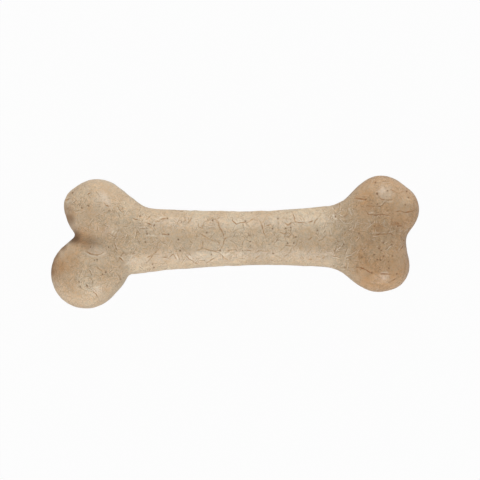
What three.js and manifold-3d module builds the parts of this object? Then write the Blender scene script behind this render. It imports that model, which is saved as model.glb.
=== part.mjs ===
// A dog chew shaped like a thigh bone, moulded in three pieces: a waisted shaft with an anchor at each end,
// and a two-lobed knuckle moulded over each anchor. The outer skin of all three is one blended form.
// Millimetres, +Z up. The bone lies along X with its lobes spread along Y, and rests on z = 0.
import * as THREE from "three";
import { mergeVertices } from "three/addons/utils/BufferGeometryUtils.js";
import Module from "manifold-3d";

const wasm = await Module();
wasm.setup();

// Shaft. Its length runs along the axis from joint to joint, and its waist lies a little past half way towards
// the narrow knuckle.
const SHAFT_LENGTH = 112;
const WAIST_SHIFT = 4.8;
const WAIST_WIDTH = 27.7;
const WAIST_THICKNESS = 26;
const NECK_WIDTH = 33.5;
const NECK_THICKNESS = 31;
const FLARE_POWER = 1.55;

// A lobe is a chain of round places. "Out" is how far a place lies beyond the joint, along the axis, and
// "across" how far it lies to the side. A lobe's crown, where it is thickest, may lie off its middle. Lobes and
// shaft meet in a valley, which is as wide as the blend at the outline and as the face blend over the crowns.

// Broad knuckle, at the -X end: two lobes with a deep notch between them. The upper one has a square corner
// and runs back to the joint as a limb, and the lower one has a heel.
const BROAD_THICKNESS = 39;
const BROAD_BLEND = 2.5;
const BROAD_FACE_BLEND = 7;
const BROAD_UPPER_OUT = 19;
const BROAD_UPPER_ACROSS = 15.7;
const BROAD_UPPER_RADIUS = 16.3;
const BROAD_UPPER_CROWN_OUT = 14;
const BROAD_UPPER_CROWN_ACROSS = 11.5;
const BROAD_CORNER_OUT = 26;
const BROAD_CORNER_ACROSS = 18.3;
const BROAD_CORNER_RADIUS = 10.3;
const BROAD_CORNER_THICKNESS = 25;
const BROAD_LIMB_RADIUS = 16.4;
const BROAD_LOWER_OUT = 25.4;
const BROAD_LOWER_ACROSS = -16.5;
const BROAD_LOWER_RADIUS = 18.1;
const BROAD_LOWER_CROWN_OUT = 18.5;
const BROAD_LOWER_CROWN_ACROSS = -16;
const BROAD_HEEL_OUT = 20.6;
const BROAD_HEEL_ACROSS = -12.1;
const BROAD_HEEL_RADIUS = 17.8;

// Narrow knuckle, at the +X end: two lobes that run softly into the shaft, with a shallow notch between them.
const NARROW_THICKNESS = 36;
const NARROW_BLEND = 13;
const NARROW_FACE_BLEND = 15;
const NARROW_UPPER_OUT = 15.4;
const NARROW_UPPER_ACROSS = 15.8;
const NARROW_UPPER_RADIUS = 15.2;
const NARROW_CORNER_OUT = 22;
const NARROW_CORNER_ACROSS = 13.4;
const NARROW_CORNER_RADIUS = 12.9;
const NARROW_CORNER_THICKNESS = 30;
const NARROW_LOWER_OUT = 13.3;
const NARROW_LOWER_ACROSS = -13.8;
const NARROW_LOWER_RADIUS = 15.2;
const NARROW_LOWER_CROWN_OUT = 17;
const NARROW_LOWER_CROWN_ACROSS = -14;
const NARROW_TIP_OUT = 16.4;
const NARROW_TIP_ACROSS = -15.6;
const NARROW_TIP_RADIUS = 12.9;
const NARROW_TIP_THICKNESS = 30;
const NARROW_TIP_CROWN_OUT = 20;
const NARROW_TIP_CROWN_ACROSS = -15.8;

// Joints: each end of the shaft is a dome that leans, and seats in a cup in its knuckle.
const DOME_RADIUS = 48;
const JOINT_LEAN_DEG = 9;
const JOINT_GAP = 0.3;

// Anchors: an oval mushroom on each dome, which the knuckle is moulded over and can't leave or turn on.
const ANCHOR_LENGTH = 20;
const ANCHOR_ROOT = 8;
const ANCHOR_NECK_THICKNESS = 12;
const ANCHOR_HEAD_THICKNESS = 17;
const ANCHOR_HEAD_WIDTH = 26;
const ANCHOR_HEAD_LENGTH = 10;

// Lands: the four lobes are flattened this deep underneath, so that the bone lies steady.
const LAND_DEPTH = 0.5;

// Facets
const KNUCKLE_DETAIL = 13;
const SHAFT_SIDES = 48;
const SHAFT_STATIONS = 30;
const ANCHOR_SIDES = 20;
const ANCHOR_CURVE_STEPS = 5;
const DOME_SIDES = 48;

const half = SHAFT_LENGTH / 2;
const broadHeight = BROAD_THICKNESS / 2 - LAND_DEPTH;
const narrowHeight = NARROW_THICKNESS / 2 - LAND_DEPTH;
const lean = THREE.MathUtils.degToRad(JOINT_LEAN_DEG);

// The side of a block that is larger than the bone.
const WORLD = 8 * SHAFT_LENGTH;

// The sine of a cone's slant where one of its balls all but swallows the other.
const STEEPEST = 0.99;

// Height of the bone's axis over the table: each knuckle holds it at half its own thickness.
function axisHeight(x) {
  const share = THREE.MathUtils.clamp((x + half) / SHAFT_LENGTH, 0, 1);
  return THREE.MathUtils.lerp(broadHeight, narrowHeight, share);
}

// A round place in the form: its centre, its radius seen from above, half its thickness, and the way from its
// centre to its crown. The crowns on both faces lie the same way off.
function ball(x, y, z, radius, thickness, crown) {
  const centre = new THREE.Vector3(x, y, z);
  const toCrown = crown ? new THREE.Vector3(crown.x - x, crown.y - y, 0) : new THREE.Vector3();
  return { centre, radius, halfThickness: thickness / 2, toCrown };
}

// How far a point lies outside the round cone from one ball to another. It is negative inside. The nearest
// place on the cone's axis is found square to its slanting side.
function outsideLimb(point, from, to) {
  const way = to.centre.clone().sub(from.centre);
  const length = way.length();
  const { clamp, lerp } = THREE.MathUtils;
  let share = 0;
  if (length) {
    const offset = point.clone().sub(from.centre);
    const along = offset.dot(way) / length;
    const aside = Math.sqrt(Math.max(offset.lengthSq() - along * along, 0));
    const slant = Math.asin(clamp((from.radius - to.radius) / length, -STEEPEST, STEEPEST));
    share = clamp((along - aside * Math.tan(slant)) / length, 0, 1);
  }
  const away = point.clone().sub(from.centre).addScaledVector(way, -share);
  const radius = lerp(from.radius, to.radius, share);
  const halfThickness = lerp(from.halfThickness, to.halfThickness, share);
  const rise = Math.min((away.z / halfThickness) ** 2, 1);
  away.addScaledVector(from.toCrown.clone().lerp(to.toCrown, share), -rise);
  return (Math.hypot(away.x / radius, away.y / radius, away.z / halfThickness) - 1) * radius;
}

// The same for the shaft, which is waisted and ends round inside each knuckle.
function outsideShaft(point) {
  const x = THREE.MathUtils.clamp(point.x, -half, half);
  const fromWaist = x - WAIST_SHIFT;
  const flare = Math.abs(fromWaist / (half - Math.sign(fromWaist) * WAIST_SHIFT)) ** FLARE_POWER;
  const width = THREE.MathUtils.lerp(WAIST_WIDTH, NECK_WIDTH, flare);
  const thickness = THREE.MathUtils.lerp(WAIST_THICKNESS, NECK_THICKNESS, flare);
  const place = ball(x, 0, axisHeight(x), width / 2, thickness);
  return outsideLimb(point, place, place);
}

// Joins two forms with a soft valley as wide as the blend.
function blended(a, b, blend) {
  const overlap = Math.max(blend - Math.abs(a - b), 0);
  return Math.min(a, b) - (overlap * overlap) / (4 * blend);
}

// The same for a lobe, whose places are joined one to the next.
function outsideLobe(point, places) {
  return Math.min(...places.map((place, i) => outsideLimb(point, place, places[i + 1] ?? place)));
}

// A knuckle's form: the shaft's end, blended with each of its lobes in turn.
function outsideKnuckle(point, { height, thickness, blend, faceBlend, lobes }) {
  const rise = Math.min((2 * Math.abs(point.z - height)) / thickness, 1);
  const width = THREE.MathUtils.lerp(blend, faceBlend, rise);
  return lobes.reduce((form, lobe) => blended(form, outsideLobe(point, lobe), width), outsideShaft(point));
}

function broadKnuckle() {
  const place = (out, across, radius, thickness, crown) =>
    ball(-half - out, across, broadHeight, radius, thickness, crown);
  const upperCrown = { x: -half - BROAD_UPPER_CROWN_OUT, y: BROAD_UPPER_CROWN_ACROSS };
  const lowerCrown = { x: -half - BROAD_LOWER_CROWN_OUT, y: BROAD_LOWER_CROWN_ACROSS };
  const limb = place(0, 0, BROAD_LIMB_RADIUS, NECK_THICKNESS);
  const upper = place(BROAD_UPPER_OUT, BROAD_UPPER_ACROSS, BROAD_UPPER_RADIUS, BROAD_THICKNESS, upperCrown);
  const corner = place(
    BROAD_CORNER_OUT,
    BROAD_CORNER_ACROSS,
    BROAD_CORNER_RADIUS,
    BROAD_CORNER_THICKNESS,
    upperCrown,
  );
  const lower = place(BROAD_LOWER_OUT, BROAD_LOWER_ACROSS, BROAD_LOWER_RADIUS, BROAD_THICKNESS, lowerCrown);
  const heel = place(BROAD_HEEL_OUT, BROAD_HEEL_ACROSS, BROAD_HEEL_RADIUS, BROAD_THICKNESS, lowerCrown);
  const lobes = [
    [limb, upper, corner],
    [heel, lower],
  ];
  return {
    side: -1,
    height: broadHeight,
    thickness: BROAD_THICKNESS,
    blend: BROAD_BLEND,
    faceBlend: BROAD_FACE_BLEND,
    lobes,
  };
}

function narrowKnuckle() {
  const place = (out, across, radius, thickness, crown) =>
    ball(half + out, across, narrowHeight, radius, thickness, crown);
  const lowerCrown = { x: half + NARROW_LOWER_CROWN_OUT, y: NARROW_LOWER_CROWN_ACROSS };
  const tipCrown = { x: half + NARROW_TIP_CROWN_OUT, y: NARROW_TIP_CROWN_ACROSS };
  const upper = place(NARROW_UPPER_OUT, NARROW_UPPER_ACROSS, NARROW_UPPER_RADIUS, NARROW_THICKNESS);
  const corner = place(NARROW_CORNER_OUT, NARROW_CORNER_ACROSS, NARROW_CORNER_RADIUS, NARROW_CORNER_THICKNESS);
  const lower = place(NARROW_LOWER_OUT, NARROW_LOWER_ACROSS, NARROW_LOWER_RADIUS, NARROW_THICKNESS, lowerCrown);
  const tip = place(NARROW_TIP_OUT, NARROW_TIP_ACROSS, NARROW_TIP_RADIUS, NARROW_TIP_THICKNESS, tipCrown);
  const lobes = [
    [upper, corner],
    [lower, tip],
  ];
  return {
    side: 1,
    height: narrowHeight,
    thickness: NARROW_THICKNESS,
    blend: NARROW_BLEND,
    faceBlend: NARROW_FACE_BLEND,
    lobes,
  };
}

const broad = broadKnuckle();
const narrow = narrowKnuckle();

function outsideBone(point) {
  return Math.min(outsideKnuckle(point, broad), outsideKnuckle(point, narrow));
}

// Distance from a point inside the bone to its skin along a direction, or the limit where the skin is further.
function reachToSkin(from, direction, limit) {
  const step = 0.5;
  const at = (distance) => outsideBone(from.clone().addScaledVector(direction, distance));
  let inside = 0;
  while (inside < limit && at(inside + step) < 0) inside += step;
  if (inside >= limit) return limit;
  let outside = inside + step;
  for (let halvings = 0; halvings < 16; halvings++) {
    const middle = (inside + outside) / 2;
    if (at(middle) < 0) inside = middle;
    else outside = middle;
  }
  return inside;
}

function solid(geometry) {
  const bare = geometry.clone();
  bare.deleteAttribute("normal");
  bare.deleteAttribute("uv");
  const merged = mergeVertices(bare);
  return new wasm.Manifold(
    new wasm.Mesh({
      numProp: 3,
      vertProperties: merged.attributes.position.array,
      triVerts: new Uint32Array(merged.index.array),
    }),
  );
}

function mesh(name, made, material) {
  const { vertProperties, triVerts } = made.getMesh();
  const geometry = new THREE.BufferGeometry()
    .setAttribute("position", new THREE.BufferAttribute(vertProperties, 3))
    .setIndex(new THREE.BufferAttribute(triVerts, 1));
  geometry.computeVertexNormals();
  const piece = new THREE.Mesh(geometry, material);
  piece.name = name;
  return piece;
}

// Moves every vertex of a geometry by a function of its place.
function warped(geometry, move) {
  const position = geometry.attributes.position;
  for (let i = 0; i < position.count; i++) {
    const place = move(new THREE.Vector3().fromBufferAttribute(position, i));
    position.setXYZ(i, place.x, place.y, place.z);
  }
  return geometry;
}

// The skin of a knuckle and of some shaft beyond its joint, drawn out from the middle of the knuckle.
function knuckleBlank({ side, height, lobes }) {
  const middle = new THREE.Vector3(side * (half + ANCHOR_LENGTH - ANCHOR_HEAD_LENGTH / 2), 0, height);
  const places = lobes.flat();
  const limit = Math.max(...places.map(({ centre, radius }) => centre.distanceTo(middle) + 2 * radius));
  const skin = new THREE.IcosahedronGeometry(1, KNUCKLE_DETAIL);
  return solid(
    warped(skin, (direction) =>
      middle.clone().addScaledVector(direction, reachToSkin(middle, direction, limit)),
    ),
  );
}

// The skin of the shaft and of some knuckle beyond each joint, in rings that crowd towards the necks.
function shaftBlank() {
  const reach = half + NECK_WIDTH * Math.tan(lean);
  const skin = new THREE.CylinderGeometry(1, 1, 2, SHAFT_SIDES, SHAFT_STATIONS).rotateZ(-Math.PI / 2);
  return solid(
    warped(skin, ({ x, y, z }) => {
      const station = reach * (1.5 * x - 0.5 * x ** 3);
      const middle = new THREE.Vector3(station, 0, axisHeight(station));
      const direction = new THREE.Vector3(0, y, z);
      const share = direction.length();
      if (!share) return middle;
      const radius = reachToSkin(middle, direction.normalize(), NECK_WIDTH);
      return middle.addScaledVector(direction, share * radius);
    }),
  );
}

// The ball whose surface is a joint's dome. Its centre lies towards the other end, off the axis by the lean.
function domeBall({ side, height }, gap) {
  const centre = new THREE.Vector3(
    side * (half - DOME_RADIUS * Math.cos(lean)),
    side * DOME_RADIUS * Math.sin(lean),
    height,
  );
  const surface = new THREE.SphereGeometry(DOME_RADIUS + gap, DOME_SIDES, DOME_SIDES / 2);
  return solid(surface.translate(centre.x, centre.y, centre.z));
}

// Everything that lies beyond a joint's dome.
function beyondJoint(end, gap) {
  const block = new THREE.BoxGeometry(WORLD, WORLD, WORLD).translate((end.side * (WORLD + half)) / 2, 0, 0);
  return solid(block).subtract(domeBall(end, gap));
}

// A mushroom turned about the axis and then widened to an oval. The grown one leaves the gap round it.
function anchor({ side, height }, gap) {
  const neck = ANCHOR_NECK_THICKNESS / 2 + gap;
  const head = ANCHOR_HEAD_THICKNESS / 2 + gap;
  const end = ANCHOR_LENGTH + gap;
  const shoulder = ANCHOR_LENGTH - ANCHOR_HEAD_LENGTH - gap;
  const widest = (shoulder + end) / 2;
  const profile = new THREE.Path();
  profile.moveTo(0, -ANCHOR_ROOT);
  profile.lineTo(neck, -ANCHOR_ROOT);
  profile.lineTo(neck, shoulder);
  profile.quadraticCurveTo(head, shoulder, head, widest);
  profile.quadraticCurveTo(head, end, 0, end);
  const turned = new THREE.LatheGeometry(profile.getPoints(ANCHOR_CURVE_STEPS), ANCHOR_SIDES);
  turned.rotateZ((-side * Math.PI) / 2);
  turned.scale(1, ANCHOR_HEAD_WIDTH / ANCHOR_HEAD_THICKNESS, 1);
  return solid(turned.translate(side * half, 0, height));
}

// Everything above the table.
function aboveTable() {
  return solid(new THREE.BoxGeometry(WORLD, WORLD, WORLD).translate(0, 0, WORLD / 2));
}

function shaft() {
  const knuckles = [broad, narrow];
  const domed = knuckles.reduce((body, end) => body.subtract(beyondJoint(end, 0)), shaftBlank());
  return knuckles.reduce((body, end) => body.add(anchor(end, 0)), domed);
}

function knuckle(end) {
  const cupped = knuckleBlank(end).intersect(beyondJoint(end, JOINT_GAP));
  return cupped.subtract(anchor(end, JOINT_GAP)).intersect(aboveTable());
}

const paleCompound = new THREE.MeshStandardMaterial({ color: 0xc8b496, roughness: 0.5, metalness: 0 });
const tanCompound = new THREE.MeshStandardMaterial({ color: 0xbea17d, roughness: 0.45, metalness: 0 });

const bone = new THREE.Group();
bone.add(
  mesh("shaft", shaft(), paleCompound),
  mesh("broad_knuckle", knuckle(broad), tanCompound),
  mesh("narrow_knuckle", knuckle(narrow), tanCompound),
);

// The origin is under the middle of the whole bone.
const middle = new THREE.Box3().setFromObject(bone).getCenter(new THREE.Vector3());
bone.position.set(-middle.x, -middle.y, 0);

export default bone;
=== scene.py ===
"""Dog chew bone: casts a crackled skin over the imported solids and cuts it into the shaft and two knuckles."""
import math
from functools import partialmethod

import bmesh
import bpy
import numpy as np
from bpy.props import FloatProperty, FloatVectorProperty, IntProperty, PointerProperty
from mathutils import Matrix, Vector, kdtree, noise
from mathutils.bvhtree import BVHTree


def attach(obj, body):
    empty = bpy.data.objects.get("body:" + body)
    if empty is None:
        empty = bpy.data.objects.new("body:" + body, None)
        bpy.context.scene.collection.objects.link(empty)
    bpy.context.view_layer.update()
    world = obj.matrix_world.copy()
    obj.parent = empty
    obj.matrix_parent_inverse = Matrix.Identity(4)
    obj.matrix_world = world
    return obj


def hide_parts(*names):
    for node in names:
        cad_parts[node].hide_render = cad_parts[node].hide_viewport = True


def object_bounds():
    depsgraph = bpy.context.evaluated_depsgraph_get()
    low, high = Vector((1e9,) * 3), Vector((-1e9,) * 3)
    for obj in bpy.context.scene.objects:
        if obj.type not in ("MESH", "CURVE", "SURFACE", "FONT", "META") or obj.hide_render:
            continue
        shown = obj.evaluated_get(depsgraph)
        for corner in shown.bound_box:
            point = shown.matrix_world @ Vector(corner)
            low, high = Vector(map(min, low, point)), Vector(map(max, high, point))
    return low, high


bl_info = {
    "name": "Dog chew bone",
    "version": (1, 0, 0),
    "blender": (4, 5, 0),
    "location": "3D View > Sidebar > Chew bone",
    "description": "Dresses the packed dog chew bone in its crackled skin and sets its stage",
    "category": "Object",
}

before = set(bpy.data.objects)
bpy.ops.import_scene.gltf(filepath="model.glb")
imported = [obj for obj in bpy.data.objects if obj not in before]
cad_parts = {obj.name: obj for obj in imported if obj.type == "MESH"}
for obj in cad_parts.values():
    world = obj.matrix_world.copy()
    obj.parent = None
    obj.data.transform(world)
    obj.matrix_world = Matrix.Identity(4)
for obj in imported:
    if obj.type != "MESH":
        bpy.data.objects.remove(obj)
CAD_BOX = [list(corner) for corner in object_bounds()]

MM = 0.001
BLANK = "skin_blank"
MERGE = 1e-6
MASKS = ("crack", "pit", "pale", "tan", "dull", "grime", "smooth")

# The photograph: its side in pixels, the middle of its view on the bone, and the bone's tilt in it.
PHOTO_SIDE = 480
PHOTO_MIDDLE = Vector((2.51 * MM, 0.47 * MM, 18.5 * MM))
PHOTO_TILT = math.radians(1.1)

# Drawn lines: shift, waver and reach in pixels, their ends, their lips in half widths, and the lesser ones.
DRAWN_LOWER = (0, 0.2)
WAVER = 0.55
LINE_REACH = 4
LINE_TAPER, LINE_END = 0.2, 0.4
LIP_OFFSET = 2.1
FAINT, HAIR, GROWN, FAINT_RIDGE = 0.7, 0.4, 0.7, 0.6

# Noises: the size of their lumps, and a seed.
LINE_WAVER = (1.5 * MM, 3.1)
PLATE_BEND = (7 * MM, 5.3)
PLATE_FRAY = (2 * MM, 9.7)
CRACK_GAPS = (9 * MM, 21.3)
CRACK_EDGES = (2.2 * MM, 31.1)
BROAD_CLOUDS = (15 * MM, 12.9)
SMALL_CLOUDS = (6 * MM, 2.6)
SMOOTH_CLOUDS = (9 * MM, 17.4)
BROAD_LUMPS = (14 * MM, 1.7)
SMALL_LUMPS = (5.5 * MM, 8.2)
LONG_WRINKLES = (2.8 * MM, 4.4)
SHORT_WRINKLES = (1.3 * MM, 6.6)

# How far the plates' borders bend and fray in millimetres, and strewn pits on the upper side.
BEND_REACH, FRAY_REACH = 1.6, 0.45
STREWN_ABOVE = 0.45

# Seeds of the random draws and of the noise vectors.
PLATE_SEED, LEAN_SEED, PIT_SEED, CRACK_SALT = 41, 17, 5, 7.7
NOISE_SEED = 1
HASH = (12.9898, 78.233, 43758.5453)

# Soft steps along the bone from its middle, and up from the floor.
SHAFT_ENDS = (-62 * MM, -52 * MM)
NARROW_TAN = (53 * MM, 68 * MM)
BROAD_TAN = (50 * MM, 75 * MM)
DULL_START = (47 * MM, 54 * MM)
DULL_END = (-66 * MM, -58 * MM)
RIDGE_FADE = (45 * MM, 60 * MM)
LAND_RIM = (0.1 * MM, 1.4 * MM)
# How the painted shade in the grooves and along the rims fades out towards the floor.
SHADE_RISE = (8 * MM, 20 * MM)

# How far the skin has to look up for drawn lines, and for patches.
LINE_EDGE = 0.15
PATCH_EDGE = (0.02, 0.28)

# How brown the two knuckles, the plain compound and its clouds are.
NARROW_BROWN, BROAD_BROWN, PLAIN_BROWN, CLOUD_BROWN = 0.62, 0.14, 0.17, 0.3

# Masks above which faces are made finer, and in pits finer still.
FINER = {"crack": 0.2, "pit": 0.15, "pale": 0.25}
FINEST_PIT = 0.45

# Cutters: how near the skin a point is moved out, how far, and the angle of sharp edges.
OUTSIDE_GAP = 0.7 * MM
CLEAR_OF_SKIN = 1.5 * MM
SHARP_ANGLE = math.radians(55)

# The material of each slot: its name, roughness, mottling and grain.
COMPOUNDS = {
    "pale_compound": ("pale_crackled_skin", 0.4, 0.55, 0.85),
    "tan_compound": ("tan_crackled_skin", 0.36, 0.45, 1.1),
}

# How strongly masks and patterns show in the colour, and how much of the strokes smooth skin loses.
SHOWN = {"dull": 0.55, "warm": 0.5, "cool": 0.5, "groove": 0.8, "pale": 0.9, "hairlines": 0.4, "crack": 0.8,
         "specks": 0.45, "pit": 0.95}
CALM = 0.75

# Strokes: size of a cell, bend, width and reach as shares of the cell, shift and strength.
STROKES = {
    "long": (4.4 * MM, 1.1 * MM, 0.06, 0.55, (0, 0, 0), 1.0),
    "short": (2.8 * MM, 0.8 * MM, 0.085, 0.5, (0.31, 0.17, 0.23), 0.85),
    "fine": (1.9 * MM, 0.6 * MM, 0.11, 0.5, (0.19, 0.43, 0.29), 0.75),
}

# How white the floor looks to the camera and in glints, its half size, and the camera's sensor.
WHITE = (1, 1, 1, 1)
FLOOR_WHITE, GLINT_WHITE = 0.97, 0.1
FLOOR_REACH = 3
SENSOR = 36

# Deep cracks on the upper side: lines of points in the photograph, across and down by turns.
DEEP_CRACKS = {
    "star ray north east": (145.7, 219.9, 148, 218.3, 150.2, 216.4),
    "star ray east": (145.1, 222.1, 148.5, 223.4, 151.8, 224.7),
    "star ray west": (141, 220.5, 137.5, 219.5, 135.6, 219.2, 132.5, 217.5),
    "star squiggle": (155.3, 220.5, 159.1, 221.2, 161.7, 218.6, 164.5, 218.4, 167.4, 218),
    "crease shadow": (161.7, 233.6, 165, 234.2, 168.7, 234.1),
    "long slash": (147, 262.6, 150.2, 258.5, 153.1, 254, 157, 250.5, 160.4, 247.6),
    "hook": (168.1, 258.5, 170.5, 256, 173.2, 254, 174.8, 255.9, 176.7, 259.8),
    "bend outside": (185.3, 254, 189.1, 258.5, 194.8, 262.3, 198, 263.6),
    "slash": (207, 262.3, 212, 259.2, 216.5, 256.3),
    "upper zigzag": (231.8, 215.8, 232.5, 220.2, 236.3, 224, 240, 223, 243.9, 222.1, 246.2, 223.1,
                     250, 220.8, 253.5, 218.6, 257, 220.9),
    "upper long": (259.2, 219.6, 260.8, 223, 262.4, 226.6, 263.4, 230.4, 265.6, 237.4),
    "dark bend": (279, 232.3, 284.1, 233.3, 288.6, 232.7, 291.1, 234.2, 289.2, 235.8, 286.7, 237.4),
    "dark bend end": (292.4, 234.9, 295.3, 237.8),
    "right zigzag": (291.8, 211.9, 294.3, 217, 295, 221.8, 299.4, 222.5, 303.9, 222.1, 307.1, 224),
    "right dash": (308.3, 222.1, 312.8, 220.5),
    "right middle": (317.9, 241.3, 323, 238.7, 326.2, 234.9),
    "hollow line": (372.1, 234.8, 377.2, 234.5, 381, 233.9, 386, 233.6, 390.6, 233.2, 394.4, 235.8),
    "upper lobe line": (393.8, 211.5, 400.8, 210.9, 404.6, 212.2, 409.5, 211.3, 414.8, 210.9),
    "upper lobe kink": (365.4, 209.6, 368.3, 214.1, 374.6, 214.7, 384.8, 214.4, 387.4, 215.4),
    "lower lobe crack": (354.2, 266.6, 360.6, 267.5, 366.4, 270.1, 372.1, 273.3),
    "lower lobe crease": (380.4, 273.9, 386.1, 273.6, 391.2, 273.9),
    "left lobe line": (92.5, 291.2, 96, 293.8, 97.9, 296.6),
    "pale curve shadow": (85.8, 251.3, 90.3, 253.3, 94.7, 254.9, 100.5, 254.2, 103.7, 252.3),
    "upper lobe patch": (103.7, 202, 106.2, 205.2, 109.1, 206.1),
    "flat line left": (243.3, 250.2, 247, 249.7, 251.6, 250.5),
    "short slash left": (255.4, 258.5, 259.6, 255.3),
    "middle dash": (266.3, 225.3, 270.7, 224.4),
    "beside the long slash": (147, 257.2, 152.1, 254.7),
    "lower right hook": (321.7, 259.1, 324.9, 255.9),
    "left neck first": (119, 256.8, 124, 261.2),
    "end notch line": (404.3, 244.6, 399.5, 250.3),
    "upper lobe foot": (354.9, 198.1, 360, 198.6, 365.1, 199.4),
    "lower lobe underline": (389.9, 282.2, 395.7, 278.4),
    "left lobe nick": (85.8, 283.6, 88.4, 286.7),
    "left lobe dash": (87.7, 194, 90.6, 192.1),
    "plate foot": (202.8, 247.6, 208.9, 249.9, 217.8, 252.1),
    "loop top": (285.4, 245.1, 289.5, 245.8, 293, 246),
}

# Fainter cracks on the upper side.
FAINT_CRACKS = {
    "grey dash": (159.8, 257.5, 163.6, 256.9, 166.8, 257.2),
    "hook right": (177.6, 254, 178.6, 257, 179.9, 260.4),
    "meander second": (187.8, 217.7, 189.1, 220.2, 188.2, 222.8),
    "meander cup": (198, 222.1, 198.7, 227.2, 202.2, 227.9, 203.8, 222.8),
    "meander side": (215.3, 218.3, 217.5, 222.8),
    "long arc": (197.4, 231.7, 203.8, 235.5, 210.8, 240, 218.4, 241.6, 219.4, 243.8, 216.5, 245.7),
    "plate left": (195.2, 250.8, 202.2, 248.3, 202.8, 243.8, 202.5, 239.4),
    "plate right": (220, 250.5, 223.5, 243.8, 224.2, 238.7, 231.8, 235.5),
    "plate corner": (225.5, 250.8, 230.6, 250.2, 235.7, 248.9, 237.6, 252.1),
    "middle short": (248.4, 231.7, 250.6, 237.4),
    "small vee": (284.1, 222.1, 287.9, 225, 292.4, 222.1),
    "loop left": (279, 252.7, 280.9, 249.6, 284.7, 247),
    "loop right": (291.8, 247, 290.5, 251.5, 287.9, 254, 283.5, 257.2),
    "flat line right": (254.8, 252.7, 259.2, 250.5, 263.7, 250.8, 269.4, 251.5),
    "short slash right": (266.3, 254.7, 268.8, 252.1),
    "lower right dash": (316.6, 256.6, 320.5, 257.2),
    "brown vee": (307.1, 237.8, 309, 239.4, 312.2, 236.8),
    "neck stroke": (341.5, 217.3, 345, 215.6, 348.5, 213.5),
    "upper lobe branch": (389.9, 189.2, 398.9, 193, 404, 191.1),
    "ring shadow": (378.5, 196.9, 382.3, 199.4, 387.4, 200.1, 392.5, 199.1),
    "left lobe stem": (97.3, 267, 102.4, 271.4),
    "left lobe edge": (65.5, 200.2, 70, 198.3),
    "bend inside": (188.5, 252.7, 191.5, 256.5, 194.8, 259.8),
    "right slash": (313.8, 224.7, 315.4, 220.2, 319.2, 216.4, 321.1, 212.6),
    "crossing": (217.8, 252.1, 222.3, 255.9, 226, 258.5, 229.3, 261),
}

# The faintest cracks on the upper side.
HAIR_CRACKS = {
    "plumb line": (277.7, 219.6, 278.4, 226, 278.4, 231),
    "meander first": (184, 222.1, 185.6, 219.6, 184.6, 216.4),
    "meander loop": (206.6, 220.2, 211.4, 219.6, 214.3, 222.1, 212.5, 223.8),
    "meander tail": (213.3, 226.6, 215.9, 230.4),
    "left neck second": (121.5, 251, 127.3, 255.5),
    "neck flat line": (326.2, 236.2, 329.5, 235.6, 333.2, 235.5),
    "star lower ray": (143.6, 222.4, 141.5, 226.3),
    "flat line end": (273.3, 253.4, 276.5, 255.6, 279.6, 257.8, 283.5, 259.8),
    "left neck third": (129.8, 260.6, 134.3, 255.5),
    "middle arc": (270.7, 242.5, 274.5, 239.4, 279, 234.9),
    "upper lobe drop": (400.2, 197, 402.4, 200.8),
    "lower right slash": (298.8, 259.8, 305.2, 255.3, 308.3, 252.1, 311.5, 247.6),
}

# Pale raised lines on the upper side; the glints among them are painted highlights.
RIDGES = {
    "crease lip": (146.4, 235.2, 152, 235.3, 157.9, 236.2),
    "squiggle lip": (155.5, 218.6, 158, 219.3, 161, 216.8, 165.5, 216.6),
    "bend glint": (187.8, 254.6, 190.4, 256.9, 192.6, 259.6),
    "hook glint": (175.8, 255, 176.9, 257.2, 177.8, 259.2),
    "crossing glint left": (219.5, 252, 222.3, 254, 224.5, 255.8),
    "crossing glint right": (225.2, 255.6, 227.4, 254, 229.5, 252.8),
    "short glint": (239, 252, 240.7, 254, 242.3, 256),
    "left neck branch": (115.2, 255.5, 120.3, 256.8, 125.4, 261.2),
    "lower lobe curve": (83.9, 252, 89.6, 255.2, 93.5, 256.5, 99.8, 255.5, 106.2, 252.6),
    "lower lobe streak": (93.5, 287.4, 97, 286.8, 100.5, 285.5),
    "squiggle row first": (111.5, 233.5, 114, 230.3),
    "squiggle row second": (114, 234.8, 116.8, 231),
    "squiggle row third": (116.8, 235.8, 119.5, 232),
    "neck vee": (333.8, 212.2, 332.9, 214.7, 336.4, 219.8),
    "right neck upper": (348.2, 206.4, 350.4, 211.5, 351.7, 214.7),
    "highlight step": (389.5, 191, 389.8, 196),
    "crease lip end": (159.8, 234.9, 164.9, 236.5),
    "kink lip": (368.3, 213.3, 373.4, 212.6),
}

# Fainter raised lines on the upper side.
FAINT_RIDGES = {
    "star upright": (143.2, 218.5, 144.1, 221.2, 142.5, 224.5),
    "star arc": (153, 218.5, 154.5, 222.5, 152.5, 226),
    "lower lobe lip": (84.5, 278.5, 92.2, 276.5),
    "patch lip": (108.8, 206.8, 112, 207.7),
    "edge lip": (66, 202.6, 71.8, 200.1),
    "squiggle row top": (116, 229.2, 121, 227.6),
    "upper lobe foot lip": (356.1, 200.1, 363.8, 200.7),
    "ring lip": (386.1, 201.7, 390, 201.6, 393.1, 200.7),
    "drop lip": (400.8, 196.2, 403.3, 200.1),
    "hollow lip": (371.5, 232.3, 379.7, 232.3),
    "lower crease lip": (380.4, 272.3, 388.7, 272),
    "end notch lip": (402.5, 244.6, 398, 250.6),
    "star middle": (139.5, 221.5, 144.1, 221.2, 147.5, 220.6),
    "left neck long": (124, 266.3, 128, 262.5, 130.3, 258, 133.6, 252.9),
    "hollow curl": (367.6, 218.6, 370.8, 224.3, 366.4, 229.4),
    "patch crest": (104.5, 199.8, 107.2, 201.8, 110, 204.8),
    "right neck lower": (351, 243.9, 350.4, 248.4, 347.9, 252.9, 345.3, 258.6, 343.7, 265.6),
}

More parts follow.
